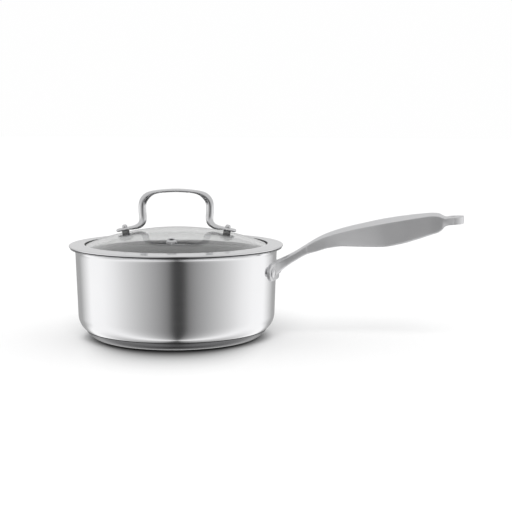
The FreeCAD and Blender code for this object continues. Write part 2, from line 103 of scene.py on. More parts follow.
def curve(table, column, x):
    """The smooth value of a table's column at x, with no overshoot between its rows."""
    rows = [(row[0], row[column]) for row in table]
    if x <= rows[0][0]:
        return rows[0][1]
    if x >= rows[-1][0]:
        return rows[-1][1]
    at = max(i for i in range(len(rows) - 1) if rows[i][0] <= x)
    rises = [(high[1] - low[1]) / (high[0] - low[0]) for low, high in zip(rows, rows[1:])]

    def slope(i):
        if i == 0 or i == len(rows) - 1:
            return rises[min(i, len(rises) - 1)]
        left, right = rises[i - 1], rises[i]
        return 0.0 if left * right <= 0 else 2 * left * right / (left + right)

    (start, low), (end, high) = rows[at], rows[at + 1]
    width = end - start
    t = (x - start) / width
    return ((2 * t ** 3 - 3 * t ** 2 + 1) * low + (t ** 3 - 2 * t ** 2 + t) * width * slope(at)
            + (3 * t ** 2 - 2 * t ** 3) * high + (t ** 3 - t ** 2) * width * slope(at + 1))


# ---- meshes ------------------------------------------------------------------------------------
def finish_piece(piece, body, materials, replaced):
    """Give a piece its materials, its body and the CAD nodes that it stands for."""
    for material in materials:
        piece.data.materials.append(material)
    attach(piece, body)
    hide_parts(*replaced)


def new_piece(name, points, faces, normals=None):
    """A smooth object from points in millimetres."""
    mesh = bpy.data.meshes.new(name)
    mesh.from_pydata([Vector(p) * MM for p in points], [], faces)
    mesh.polygons.foreach_set("use_smooth", [True] * len(faces))
    mesh.update()
    if normals:
        mesh.normals_split_custom_set_from_vertices(normals)
    piece = bpy.data.objects.new(name, mesh)
    bpy.context.scene.collection.objects.link(piece)
    return piece


def lathe(name, outline, segments=192, place=Matrix()):
    """Turn a closed outline about the local Z axis, with exact normals."""
    turn = place.to_3x3()
    points, normals, rings = [], [], []
    for x, z, nx, nz in outline:
        if x == 0.0:
            rings.append([len(points)])
            points.append(place @ Vector((0, 0, z)))
            normals.append(turn @ Vector((0, 0, nz)))
            continue
        rings.append(list(range(len(points), len(points) + segments)))
        for step in range(segments):
            angle = 2 * math.pi * step / segments
            cosine, sine = math.cos(angle), math.sin(angle)
            points.append(place @ Vector((x * cosine, x * sine, z)))
            normals.append(turn @ Vector((nx * cosine, nx * sine, nz)))
    faces = []
    for ring, after in zip(rings, rings[1:] + rings[:1]):
        if len(ring) == 1 and len(after) == 1:
            continue
        for step in range(segments):
            here, there = step, (step + 1) % segments
            if len(ring) == 1:
                faces.append((ring[0], after[there], after[here]))
            elif len(after) == 1:
                faces.append((ring[here], ring[there], after[0]))
            else:
                faces.append((ring[here], ring[there], after[there], after[here]))
    return new_piece(name, points, faces, normals)


def loft(name, sections):
    """Skin closed sections of equal point counts, with a cap at each end."""
    size = len(sections[0])
    points = [point for section in sections for point in section]
    faces = []
    for row in range(len(sections) - 1):
        for step in range(size):
            after = (step + 1) % size
            low, high = row * size, (row + 1) * size
            faces.append((low + step, low + after, high + after, high + step))
    faces.append(tuple(reversed(range(size))))
    faces.append(tuple(range((len(sections) - 1) * size, len(sections) * size)))
    return new_piece(name, points, faces)


def boolean(piece, tool, operation):
    """Apply a boolean with a tool, which is then removed."""
    change = piece.modifiers.new(operation, "BOOLEAN")
    change.operation = operation
    change.object = tool
    change.solver = "EXACT"
    bpy.context.view_layer.update()
    result = piece.evaluated_get(bpy.context.evaluated_depsgraph_get())
    mesh = bpy.data.meshes.new_from_object(result)
    piece.modifiers.clear()
    mesh.name = piece.data.name
    piece.data = mesh
    bpy.data.objects.remove(tool)
    return piece


def crease(piece, degrees):
    """Smooth shading with sharp edges where faces meet at more than an angle."""
    piece.data.shade_smooth()
    piece.data.set_sharp_from_angle(angle=math.radians(degrees))
    return piece


def radial_place(angle, height):
    """Local X outward along a ray from the pot's axis."""
    return Matrix.Translation((0, 0, height)) @ Matrix.Rotation(math.radians(angle), 4, "Z")


DOME_RADIUS = 228.0
DOME_TOP = node_box("lid_glass")[1].z
LID_TURN = 10.0  # degrees from the long handle to the lid handle


def dome_height(radius, inset=0.0):
    """Height of the dome's outer surface, or of one that lies further in."""
    return DOME_TOP - DOME_RADIUS + math.sqrt((DOME_RADIUS - inset) ** 2 - radius ** 2)


def dome_place(offset, angle):
    """A place on the dome's outer surface, local Z along the glass's normal."""
    lean = Matrix.Rotation(math.radians(angle), 4, "Z")
    lean = lean @ Matrix.Rotation(math.asin(offset / DOME_RADIUS), 4, "Y")
    center = Matrix.Translation((0, 0, DOME_TOP - DOME_RADIUS))
    return center @ lean @ Matrix.Translation((0, 0, DOME_RADIUS))


# ---- materials ---------------------------------------------------------------------------------
class Shader:
    """A node material with one Principled shader and a few helpers."""

    def __init__(self, name, **values):
        self.material = bpy.data.materials.new(name)
        self.material.use_nodes = True
        self.nodes = self.material.node_tree.nodes
        self.links = self.material.node_tree.links
        self.surface = self.nodes["Principled BSDF"]
        for socket, value in values.items():
            self.surface.inputs[socket.replace("_", " ")].default_value = value
        self.place = self.nodes.new("ShaderNodeTexCoord").outputs["Object"]

    def link(self, output, node, socket):
        self.links.new(output, node.inputs[socket])

    def noise(self, vector, scale, detail=3.0, roughness=0.55):
        """A noise texture's 0-1 value."""
        node = self.nodes.new("ShaderNodeTexNoise")
        node.inputs["Scale"].default_value = scale
        node.inputs["Detail"].default_value = detail
        node.inputs["Roughness"].default_value = roughness
        self.link(vector, node, "Vector")
        return node.outputs["Fac"]

    def turned(self, fineness):
        """Coordinates that vary only with distance from the pot's axis and height: lathe lines."""
        flat = self.nodes.new("ShaderNodeVectorMath")
        flat.operation = "MULTIPLY"
        flat.inputs[1].default_value = (1, 1, 0)
        self.link(self.place, flat, 0)
        radius = self.nodes.new("ShaderNodeVectorMath")
        radius.operation = "LENGTH"
        self.link(flat.outputs[0], radius, 0)
        split = self.nodes.new("ShaderNodeSeparateXYZ")
        self.link(self.place, split, 0)
        joined = self.nodes.new("ShaderNodeCombineXYZ")
        self.link(radius.outputs["Value"], joined, "X")
        self.link(split.outputs["Z"], joined, "Z")
        scaled = self.nodes.new("ShaderNodeVectorMath")
        scaled.operation = "SCALE"
        scaled.inputs["Scale"].default_value = fineness
        self.link(joined.outputs[0], scaled, 0)
        return scaled.outputs[0]

    def spread(self, value, low, high, socket):
        """Map a 0-1 value onto a range and feed it to a socket of the surface."""
        node = self.nodes.new("ShaderNodeMapRange")
        node.inputs["From Min"].default_value = 0.3
        node.inputs["From Max"].default_value = 0.7
        node.inputs["To Min"].default_value = low
        node.inputs["To Max"].default_value = high
        self.link(value, node, "Value")
        self.link(node.outputs["Result"], self.surface, socket)

    def tint(self, value, dark, light):
        """Mix two base colours by a 0-1 value."""
        node = self.nodes.new("ShaderNodeMix")
        node.data_type = "RGBA"
        node.inputs["A"].default_value = (*dark, 1)
        node.inputs["B"].default_value = (*light, 1)
        self.link(value, node, "Factor")
        self.link(node.outputs["Result"], self.surface, "Base Color")

    def bump(self, value, strength, distance):
        node = self.nodes.new("ShaderNodeBump")
        node.inputs["Strength"].default_value = strength
        node.inputs["Distance"].default_value = distance
        self.link(value, node, "Height")
        self.link(node.outputs["Normal"], self.surface, "Normal")


def polished_steel():
    shader = Shader("polished_steel", Metallic=1.0, Anisotropic=0.3)
    lines = shader.noise(shader.turned(1400.0), 1.0, 4.0, 0.7)
    cloud = shader.noise(shader.place, 14.0, 2.0)
    shader.tint(cloud, (0.76, 0.76, 0.77), (0.82, 0.82, 0.83))
    shader.spread(lines, 0.10, 0.16, "Roughness")
    shader.bump(lines, 0.05, 0.00004)
    return shader.material


def inner_steel():
    """The cooking surface: a duller circular brushing, in a far darker colour that is painted shade
    inside the covered pot.
    """
    shader = Shader("inner_steel", Metallic=0.9, Anisotropic=0.4)
    lines = shader.noise(shader.turned(900.0), 1.0, 4.0, 0.75)
    cloud = shader.noise(shader.place, 18.0, 2.0)
    # the tint sits far below the outer steel's as painted shade inside the covered pot
    shader.tint(cloud, (0.30, 0.30, 0.305), (0.35, 0.35, 0.355))
    shader.spread(lines, 0.26, 0.36, "Roughness")
    shader.bump(lines, 0.12, 0.00005)
    return shader.material


def base_steel():
    shader = Shader("base_steel", Metallic=1.0)
    lines = shader.noise(shader.turned(1100.0), 1.0, 4.0, 0.7)
    # very dark: partly the base's own darker brushed steel, partly painted shade from the shadowed
    # table below; elsewhere this steel is painted shade only
    shader.tint(lines, (0.13, 0.13, 0.135), (0.18, 0.18, 0.185))
    shader.spread(lines, 0.22, 0.32, "Roughness")
    shader.bump(lines, 0.10, 0.00005)
    return shader.material


def satin_steel():
    """Bead-blasted steel: an even fine grain with a soft sheen."""
    shader = Shader("satin_steel", Metallic=0.85)
    grain = shader.noise(shader.place, 5200.0, 2.0, 0.6)
    cloud = shader.noise(shader.place, 30.0, 2.0)
    shader.tint(cloud, (0.66, 0.66, 0.67), (0.72, 0.72, 0.73))
    shader.spread(cloud, 0.36, 0.42, "Roughness")
    shader.bump(grain, 0.12, 0.00005)
    return shader.material


def rod_steel():
    """Drawn rod, polished along its length."""
    shader = Shader("rod_steel", Metallic=1.0)
    cloud = shader.noise(shader.place, 60.0, 2.0)
    fine = shader.noise(shader.place, 2600.0, 2.0)
    shader.tint(cloud, (0.66, 0.66, 0.67), (0.72, 0.72, 0.73))
    shader.spread(cloud, 0.10, 0.17, "Roughness")
    shader.bump(fine, 0.04, 0.00004)
    return shader.material


def aluminium():
    shader = Shader("plain_aluminium", Metallic=1.0)
    lines = shader.noise(shader.turned(700.0), 1.0, 3.0)
    shader.tint(lines, (0.72, 0.72, 0.73), (0.82, 0.82, 0.83))
    shader.spread(lines, 0.35, 0.5, "Roughness")
    return shader.material


def clear_glass():
    shader = Shader("clear_glass", Transmission_Weight=1.0, IOR=1.5)
    haze = shader.noise(shader.place, 25.0, 2.0)
    shader.tint(haze, (0.985, 0.992, 0.990), (0.994, 0.998, 0.997))
    shader.spread(haze, 0.0, 0.012, "Roughness")
    return shader.material


def dark_silicone():
    shader = Shader("dark_silicone", Specular_IOR_Level=0.35)
    grain = shader.noise(shader.place, 900.0, 3.0)
    shader.tint(grain, (0.018, 0.018, 0.019), (0.035, 0.035, 0.036))
    shader.spread(grain, 0.45, 0.6, "Roughness")
    shader.bump(grain, 0.1, 0.0001)
    return shader.material


def pale_silicone():
    """Translucent silicone: milky, so that the glass around it stays light."""
    shader = Shader("pale_silicone", Specular_IOR_Level=0.35, Transmission_Weight=0.55, IOR=1.41)
    grain = shader.noise(shader.place, 700.0, 3.0)
    shader.tint(grain, (0.52, 0.52, 0.525), (0.60, 0.60, 0.605))
    shader.spread(grain, 0.45, 0.6, "Roughness")
    shader.bump(grain, 0.1, 0.0001)
    return shader.material


POLISHED, INNER, DARK_SHADED_STEEL = polished_steel(), inner_steel(), base_steel()
SATIN, ROD, ALUMINIUM = satin_steel(), rod_steel(), aluminium()
GLASS, SILICONE, PALE_SILICONE = clear_glass(), dark_silicone(), pale_silicone()


# ---- pot ---------------------------------------------------------------------------------------
WALL = 1.0
WALL_LEAN = math.radians(2.0)
POT_LOW, POT_HIGH = node_box("pot_body")
RIM_RADIUS, RIM_TOP, FLOOR = POT_HIGH.x, POT_HIGH.z, POT_LOW.z
CORNER_RADIUS, CORNER_CENTER = 17.0, 70.45  # the outer bend between floor and wall
FLARE = 4.5  # radius of the bend from wall to rim
RIM_EDGE_UNDER, RIM_EDGE_TOP = 0.42, 0.45  # roundings of the rim's edge
RIM_SHADE_WIDTH, RIM_SHADE_DEPTH = 4.0, 0.6  # a strip on the rim painted dark as the lid ring's shade


def wall_radius(height):
    """Outer radius of the leaning wall."""
    foot = FLOOR + CORNER_RADIUS * (1 - math.sin(WALL_LEAN))
    foot_radius = CORNER_CENTER + CORNER_RADIUS * math.cos(WALL_LEAN)
    return foot_radius + (height - foot) * math.tan(WALL_LEAN)


def make_pot():
    """The pot's shell in three steels, with painted shade inside and on a strip of the rim, the cap
    under it, and the look of the disc between them.
    """
    under_rim = RIM_TOP - WALL
    thick = WALL / math.cos(WALL_LEAN)
    shell = lathe("pot_shell", rounded([
        (0.0, FLOOR),
        (wall_radius(FLOOR), FLOOR, CORNER_RADIUS),
        (wall_radius(under_rim), under_rim, FLARE),
        (RIM_RADIUS, under_rim, RIM_EDGE_UNDER),
        (RIM_RADIUS, RIM_TOP, RIM_EDGE_TOP),
        (wall_radius(RIM_TOP) - thick, RIM_TOP, FLARE + WALL),
        (wall_radius(FLOOR + WALL) - thick, FLOOR + WALL, CORNER_RADIUS - WALL),
        (0.0, FLOOR + WALL),
    ], steps=16), segments=256)
    finish_piece(shell, "pan", [POLISHED, INNER, DARK_SHADED_STEEL], ["pot_body"])
    for face in shell.data.polygons:
        height = face.center.z / MM
        radius = math.hypot(face.center.x, face.center.y) / MM
        # faces inside the pot take the inner steel, whose darker colour is painted shade
        inside = radius < wall_radius(height) - WALL / 2 and height < under_rim - FLARE
        if height < FLOOR + CORNER_RADIUS:
            across = max(radius - CORNER_CENTER, 0.0)
            inside = math.hypot(across, FLOOR + CORNER_RADIUS - height) < CORNER_RADIUS - WALL / 2
        # the rim's outer top gets the dark steel: painted shade under the lid ring's edge
        rim_shade = height > RIM_TOP - RIM_SHADE_DEPTH and radius > RIM_RADIUS - RIM_SHADE_WIDTH
        face.material_index = 2 if rim_shade else int(inside)

    cap_low, cap_high = node_box("base_cap")
    cap_rim, lip, lip_height, thickness = cap_high.x, 80.1, 7.9, 0.8
    flat, bend, inner_bend = 66.7, 16.1, 16.195  # radii of the flat foot and the bends round it
    outer_end = -math.degrees(math.acos((cap_rim - flat) / bend))
    inner_end = -math.degrees(math.acos((lip - flat) / inner_bend))
    cap = lathe("base_cap_shell", rounded(
        [(0.0, cap_low.z)]
        + arc((flat, bend), bend, -90, outer_end - 1.5, 20)
        + [(cap_rim, cap_high.z, 0.12), (lip, lip_height, 0.05)]
        + arc((flat, thickness + inner_bend), inner_bend, inner_end - 2.0, -90, 12)
        + [(0.0, thickness)], steps=4), segments=256)
    # the cap's dark colour is partly its own brushed steel, partly painted shade
    finish_piece(cap, "pan", [DARK_SHADED_STEEL], ["base_cap"])
    core_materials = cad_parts["base_core"].data.materials
    core_materials.clear()
    core_materials.append(ALUMINIUM)


# ---- long handle -------------------------------------------------------------------------------
# x, half-width at the ridges, crown, ridge height, keel height, half-width of the keel,
# rounding of the ridges, rounding of the keel
HANDLE = [
    (90.0, 11.0, 70.4, 68.6, 56.8, 7.5, 2.4, 2.4),
    (92.6, 9.6, 71.7, 70.2, 59.2, 6.2, 2.4, 2.2),
    (95.5, 8.3, 73.0, 71.7, 62.0, 5.0, 2.3, 2.0),
    (100.0, 7.5, 75.2, 73.9, 65.6, 4.2, 2.2, 1.9),
    (108.0, 7.3, 79.6, 78.3, 71.0, 3.9, 2.0, 1.8),
    (118.5, 8.0, 86.3, 84.8, 76.9, 4.0, 1.5, 1.8),
    (127.0, 8.8, 91.5, 89.6, 79.5, 4.2, 1.1, 1.8),
    (137.0, 10.1, 96.2, 93.8, 82.6, 4.5, 1.0, 1.9),
    (150.0, 12.1, 100.6, 97.8, 84.4, 5.0, 0.9, 2.0),
    (166.0, 14.1, 104.7, 101.8, 84.4, 5.6, 0.9, 2.2),
    (184.0, 15.4, 108.8, 105.7, 84.7, 6.0, 0.9, 2.4),
    (200.0, 15.0, 111.6, 108.7, 87.6, 6.0, 0.9, 2.4),
    (215.0, 13.2, 113.6, 111.3, 92.2, 5.6, 1.0, 2.2),
    (227.0, 11.2, 114.6, 113.0, 96.4, 5.0, 1.2, 2.0),
    (231.5, 10.4, 114.2, 112.9, 97.9, 5.0, 1.4, 1.9),
    (234.5, 9.6, 112.7, 111.7, 100.2, 5.6, 1.5, 1.6),
    (237.5, 9.0, 111.6, 111.0, 103.6, 7.6, 1.3, 1.3),
    (241.0, 8.6, 111.9, 111.6, 104.8, 8.4, 1.0, 1.0),
    (253.0, 8.6, 112.7, 112.4, 105.7, 8.4, 1.0, 1.0),
]
SEAM = 118.5  # where the neck ends and the grip begins
SEAM_CHAMFER = 0.12
SIDE_BOW = 0.035  # how far the grip's side bulges, as a share of its height
SOFTEST = 0.45  # the most of a half-width that a rounding takes
LOOP_CENTER, LOOP_RADIUS, LOOP_HOLE = 244.1, 8.6, 4.5
LOOP_TILT = 4.5  # degrees
HOLE_HALF_LENGTH = 2.85  # of the hole's straight part, between the two chamfers


def bezier(start, control, end, steps):
    """Points after start and up to end on a quadratic curve."""
    ts = [(step + 1) / steps for step in range(steps)]
    return [start * (1 - t) ** 2 + control * 2 * t * (1 - t) + end * t ** 2 for t in ts]


def handle_section(x):
    """One closed cross-section as points (x, y, z), counter-clockwise from the keel's right end."""
    row = [curve(HANDLE, column, x) for column in range(1, 8)]
    half, crown, ridge, keel, sole, soft_ridge, soft_keel = row
    if x > LOOP_CENTER:
        reach = min(x - LOOP_CENTER, LOOP_RADIUS * 0.9995)
        half = math.sqrt(LOOP_RADIUS ** 2 - reach ** 2)
        sole = half
        edge = max(LOOP_RADIUS - reach, 0.0)
        bite = soft_ridge - math.sqrt(max(soft_ridge ** 2 - max(soft_ridge - edge, 0.0) ** 2, 0.0))
        crown, ridge, keel = crown - bite, ridge - bite, keel + bite
    soft_ridge, soft_keel = min(soft_ridge, half * SOFTEST), min(soft_keel, sole * SOFTEST)
    bottom, top = Vector((sole, keel)), Vector((half, ridge))
    rise = (top - bottom).normalized()
    bow = SIDE_BOW * (top - bottom).length * (1 - min(sole / half, 1.0))

    def side(t):
        return bottom.lerp(top, t) + Vector((rise.y, -rise.x)) * bow * 4 * t * (1 - t)

    def roof(t):
        y = half * (1 - 2 * t)
        return Vector((y, ridge + (crown - ridge) * (1 - (y / half) ** 2)))

    height = (top - bottom).length
    low_cut, high_cut, roof_cut = soft_keel / height, soft_ridge / height, soft_ridge / (2 * half)
    sole_start = Vector((sole - soft_keel, keel))
    right = [sole_start] + bezier(sole_start, bottom, side(low_cut), 6)
    right += [side(low_cut + (1 - low_cut - high_cut) * step / 16) for step in range(1, 17)]
    right += bezier(side(1 - high_cut), top, roof(roof_cut), 8)
    right += [roof(roof_cut + (0.5 - roof_cut) * step / 14) for step in range(1, 15)]
    left = [Vector((-p.x, p.y)) for p in reversed(right[:-1])]
    floor = [Vector((left[-1].x * (1 - 2 * step / 6), keel)) for step in range(1, 6)]
    return [(x, p.x, p.y) for p in right + left + floor]


def spaced(start, end, step):
    """Numbers from start to end, about a step apart."""
    count = max(1, round((end - start) / step))
    return [start + (end - start) * i / count for i in range(count + 1)]


def shrunk(section, amount):
    """A section drawn in towards its middle, for a small chamfer at a seam."""
    middle = sum((Vector(p) for p in section), Vector()) / len(section)
    points = []
    for p in section:
        arm = Vector(p) - middle
        points.append(middle + arm * (1 - amount / max(arm.length, 0.1)))
    return points


def make_grip():
    """The hollow grip's outer skin, with the hole through its loop."""
    tip = [LOOP_CENTER + LOOP_RADIUS * math.sin(math.radians(a)) for a in range(3, 88, 3)]
    stations = spaced(SEAM + SEAM_CHAMFER, LOOP_CENTER, 0.9) + tip
    sections = [shrunk(handle_section(SEAM), SEAM_CHAMFER)] + [handle_section(x) for x in stations]
    grip = loft("grip_shell", sections)
    tilt = Matrix.Rotation(-math.radians(LOOP_TILT), 4, "Y")
    middle = (handle_section(LOOP_CENTER)[0][2] + curve(HANDLE, 2, LOOP_CENTER)) / 2
    place = Matrix.Translation((LOOP_CENTER, 0, middle)) @ tilt
    cone_end, cone_radius = 9.0, LOOP_HOLE + 6.0  # past both faces, so the cones cut the chamfers
    cutter = lathe("loop_cutter", rounded([
        (0.0, -cone_end), (cone_radius, -cone_end), (LOOP_HOLE, -HOLE_HALF_LENGTH),
        (LOOP_HOLE, HOLE_HALF_LENGTH), (cone_radius, cone_end), (0.0, cone_end)]), 64, place)
    crease(boolean(grip, cutter, "DIFFERENCE"), 32)
    grip.visible_glossy = False  # the pot's wall doesn't mirror the grip or the bracket
    finish_piece(grip, "pan", [SATIN], ["handle_grip"])


FLANGE_LOW, FLANGE_HIGH, FLANGE_THICK, FLANGE_HALF_ANGLE = 53.7, 69.3, 3.0, 14.4
FLANGE_EDGE = 0.9  # rounding of its outer edge
RIVET_ANGLE, RIVET_HEIGHT = 10.0, 61.5
RIVET_SHANK, RIVET_HEAD, RIVET_TAIL = 2.5, 4.4, 4.2  # radii: through the wall, outside, inside


def make_bracket():
    """The riveted flange, curved to the wall, and the neck that rises from it."""
    middle = (FLANGE_LOW + FLANGE_HIGH) / 2
    half_height = (FLANGE_HIGH - FLANGE_LOW) / 2
    half_length = math.radians(FLANGE_HALF_ANGLE) * (wall_radius(middle) + FLANGE_THICK)
    straight, end_steps = half_length - half_height, 24

    def ring(inset, lift):
        """The flange's outline drawn in by an inset, at a height above the wall."""
        radius = half_height - inset
        spots = []
        for side, start in ((1, -90), (-1, 90)):
            for step in range(end_steps + 1):
                angle = math.radians(start + 180 * step / end_steps)
                spots.append((side * straight + radius * math.cos(angle), radius * math.sin(angle)))
            for step in range(1, 20):
                spots.append((side * straight * (1 - step / 10), side * radius))
        points = []
        for along, up in spots:
            height = middle + up
            reach = wall_radius(height) + lift
            angle = along / (wall_radius(middle) + FLANGE_THICK)
            points.append((reach * math.cos(angle), reach * math.sin(angle), height))
        return points

    # from the middle of the back, round the edge, to the middle of the front
    rows = [(6.9, CONTACT_GAP), (3.0, CONTACT_GAP), (0.25, CONTACT_GAP), (0.0, 0.3),
            (0.0, FLANGE_THICK - FLANGE_EDGE)]
    for step in range(1, 7):
        angle = math.radians(15 * step)
        rows.append((FLANGE_EDGE * (1 - math.cos(angle)),
                     FLANGE_THICK - FLANGE_EDGE * (1 - math.sin(angle))))
    rows += [(inset, FLANGE_THICK) for inset in (2.4, 4.6, 6.9)]
    flange = loft("bracket", [ring(inset, lift) for inset, lift in rows])
    stations = spaced(HANDLE[0][0], SEAM - SEAM_CHAMFER, 0.8)
    neck = loft("neck", [handle_section(x) for x in stations]
                + [shrunk(handle_section(SEAM), SEAM_CHAMFER)])
    crease(boolean(flange, neck, "UNION"), 34)
    flange.visible_glossy = False
    finish_piece(flange, "pan", [SATIN], ["handle_bracket"])


def make_handle_rivets():
    """Two solid rivets: a domed head outside, a flatter one inside the pot."""
    face = wall_radius(RIVET_HEIGHT) + FLANGE_THICK + 0.05
    inner = wall_radius(RIVET_HEIGHT) - WALL - 0.15
    stand = Matrix.Rotation(math.radians(90), 4, "Y")
    tail = [(0.0, inner - 1.2), (2.6, inner - 1.15, 1.6), (RIVET_TAIL, inner - 0.55, 0.5),
            (RIVET_TAIL, inner, 0.1), (RIVET_SHANK, inner, 0.1)]
    head = [(RIVET_SHANK, face, 0.1), (RIVET_HEAD, face, 0.15), (RIVET_HEAD, face + 0.5, 0.45),
            (3.0, face + 1.55, 2.6), (0.0, face + 1.95)]
    outline = rounded(tail + head, steps=6)
    for side, sign in (("front", -1), ("rear", 1)):
        name = "handle_rivet_" + side
        place = radial_place(sign * RIVET_ANGLE, RIVET_HEIGHT) @ stand
        rivet = lathe(name + "_solid", outline, 64, place)
        finish_piece(rivet, "pan", [ROD], [name])


# ---- lid ---------------------------------------------------------------------------------------
RING_LOW, RING_HIGH = node_box("lid_ring")
RING_RADIUS, RING_TOP, CUP_LOW = RING_HIGH.x, RING_HIGH.z, RING_LOW.z
RING_UNDERSIDE = 81.6  # height of the face just above the rim
RING_MOUTH, RING_CUP, CUP_MOUTH = 81.3, 87.6, 82.5  # radii: top opening, cup's outside, its opening
SHEET, RING_ROLL = 0.6, 0.86  # thickness of the steel, and the rounding of the outer edge
RING_FALL = 0.0625  # how much the ring's top face drops outward per unit of radius
SHADED_FROM, SHADED_TO = RING_CUP + 4.0, RING_UNDERSIDE + 0.55 * RING_ROLL  # the outer edge's underside, painted dark as shade
GLASS_EDGE, GLASS_THICK, GLASS_ROUNDING = node_box("lid_glass")[1].x, 4.0, 0.8
FOOT_OFFSET, VENT_OFFSET = 45.0, 52.0  # distances from the lid's axis


def make_glass():
    def dome_arc(inset):
        """Points from near the axis to near the edge."""
        radii = [GLASS_EDGE * step / 48 for step in range(1, 48)]
        return [(radius, dome_height(radius, inset)) for radius in radii]

    glass = lathe("glass_dome", rounded(
        [(0.0, DOME_TOP - GLASS_THICK)] + dome_arc(GLASS_THICK)
        + [(GLASS_EDGE, dome_height(GLASS_EDGE, inset), GLASS_ROUNDING)
           for inset in (GLASS_THICK, 0.0)]
        + dome_arc(0.0)[::-1] + [(0.0, DOME_TOP)]), segments=192)
    finish_piece(glass, "lid", [GLASS], ["lid_glass"])


def ring_face(radius, below=0.0):
    """Height of the ring's top face, or of one that lies below it."""
    return RING_TOP - RING_FALL * (radius - RING_MOUTH) - below


def make_ring():
    sheet_roll = RING_ROLL - SHEET
    band = lathe("rim_band", rounded([
        (RING_MOUTH, ring_face(RING_MOUTH, SHEET), 0.2),
        (RING_RADIUS - SHEET, ring_face(RING_RADIUS, SHEET), sheet_roll),
        (RING_RADIUS - SHEET, RING_UNDERSIDE + SHEET, sheet_roll),
        (RING_CUP - SHEET, RING_UNDERSIDE + SHEET, 0.3),
        (RING_CUP - SHEET, CUP_LOW + SHEET, 0.3),
        (CUP_MOUTH, CUP_LOW + SHEET, 0.2),
        (CUP_MOUTH, CUP_LOW, 0.2),
        (RING_CUP, CUP_LOW, 0.8),
        (RING_CUP, RING_UNDERSIDE, 0.3),
        (RING_RADIUS, RING_UNDERSIDE, RING_ROLL),
        (RING_RADIUS, ring_face(RING_RADIUS), RING_ROLL),
        (RING_MOUTH, RING_TOP, 0.35),
    ]), segments=256)
    # faces under the ring's outer edge get the dark steel, painted shade over the rim
    for face in band.data.polygons:
        center = face.center / MM
        shaded = center.z < SHADED_TO and math.hypot(*center.xy) > SHADED_FROM
        face.material_index = int(shaded)
    finish_piece(band, "lid", [POLISHED, DARK_SHADED_STEEL], ["lid_ring"])


def make_gasket():
    """The channel fills the ring's cup and wraps the edge of the glass."""
    outer, low = RING_CUP - SHEET - CONTACT_GAP, CUP_LOW + SHEET + CONTACT_GAP
    top_lip, low_lip, below = 80.8, 83.2, SHEET + CONTACT_GAP
    edge = GLASS_EDGE + CONTACT_GAP
    channel = lathe("gasket_channel", rounded([
        (low_lip, low, 0.2), (outer, low, 0.3), (outer, ring_face(outer, below), 0.3),
        (top_lip, ring_face(top_lip, below), 0.2),
        (top_lip, dome_height(top_lip) + CONTACT_GAP, 0.1),
        (edge, dome_height(GLASS_EDGE) + CONTACT_GAP, 0.3),
        (edge, dome_height(GLASS_EDGE, GLASS_THICK) - CONTACT_GAP, 0.2),
        (low_lip, dome_height(low_lip, GLASS_THICK) - CONTACT_GAP, 0.1)], steps=4), segments=192)
    finish_piece(channel, "lid", [SILICONE], ["lid_gasket"])


def make_vent():
    """An eyelet clamped on both faces of the glass, painted dark inside its bore as shade."""
    bore, tube, flange, crown = 1.6, 2.98, 4.6, 3.2  # radii
    seat, rim_top, crown_top = 0.05, 0.45, 0.95  # heights above the glass
    low = -GLASS_THICK - 0.1
    bottom = low - 0.9
    place = dome_place(VENT_OFFSET, LID_TURN - 90)
    eyelet = lathe("vent_grommet", rounded([
        (bore, bottom, 0.5), (flange, bottom, 0.4), (flange, low, 0.2), (tube, low, 0.1),
        (tube, seat, 0.1), (flange, seat, 0.2), (flange, rim_top, 0.3),
        (crown, crown_top, 0.8), (bore, crown_top, 0.7),
    ], steps=6), 64, place)
    axis = place.inverted()
    # the bore's faces get the dark steel: painted shade inside the hole
    for face in eyelet.data.polygons:
        face.material_index = int(math.hypot(*(axis @ (face.center / MM)).xy) < bore + 0.45)
    finish_piece(eyelet, "lid", [ROD, DARK_SHADED_STEEL], ["vent_eyelet"])


# Half of the lid handle from the grip's middle to the foot's tip, in the handle's own plane:
# x, z, half-thickness, half-width, squareness of the section
LID_HANDLE = [
    (0.0, 130.85, 1.45, 6.4, 3.0),
    (10.0, 130.4, 1.45, 6.4, 3.0),
    (17.0, 129.55, 1.55, 6.2, 2.9),
    (21.5, 128.3, 2.1, 5.7, 2.6),
    (25.6, 126.0, 3.0, 4.7, 2.2),
    (28.7, 122.4, 3.4, 3.8, 2.0),
    (30.0, 118.0, 3.35, 3.4, 2.0),
    (30.0, 112.0, 3.35, 3.35, 2.0),
    (29.6, 106.5, 3.3, 3.4, 2.0),
    (30.3, 102.4, 3.1, 3.8, 2.1),
    (33.2, 99.4, 2.5, 4.8, 2.4),
    (37.5, 97.9, 1.8, 5.8, 2.8),
    (42.0, 97.13, 1.42, 6.3, 3.0),
    (47.0, 96.15, 1.4, 6.3, 3.0),
    (53.3, 94.88, 1.4, 6.3, 3.0),
]
ROD_POINTS = 40  # round each section


def spline(rows, per_span):
    """Rows of numbers on a smooth curve through the given rows."""
    result = []
    for index in range(len(rows) - 1):
        last = len(rows) - 1
        quad = [rows[max(index - 1, 0)], rows[index], rows[index + 1], rows[min(index + 2, last)]]
        for step in range(per_span):
            t = step / per_span
            result.append([0.5 * (2 * b + (c - a) * t + (2 * a - 5 * b + 4 * c - d) * t ** 2
                                  + (3 * b - a - 3 * c + d) * t ** 3) for a, b, c, d in zip(*quad)])
    return result + [list(rows[-1])]


def rounded_off(half, tip, least):
    """A half-width near the rod's tip, as the tip's rounding leaves it."""
    return half if tip >= half else math.sqrt(max(half ** 2 - (half - max(tip, least)) ** 2, 0.0))


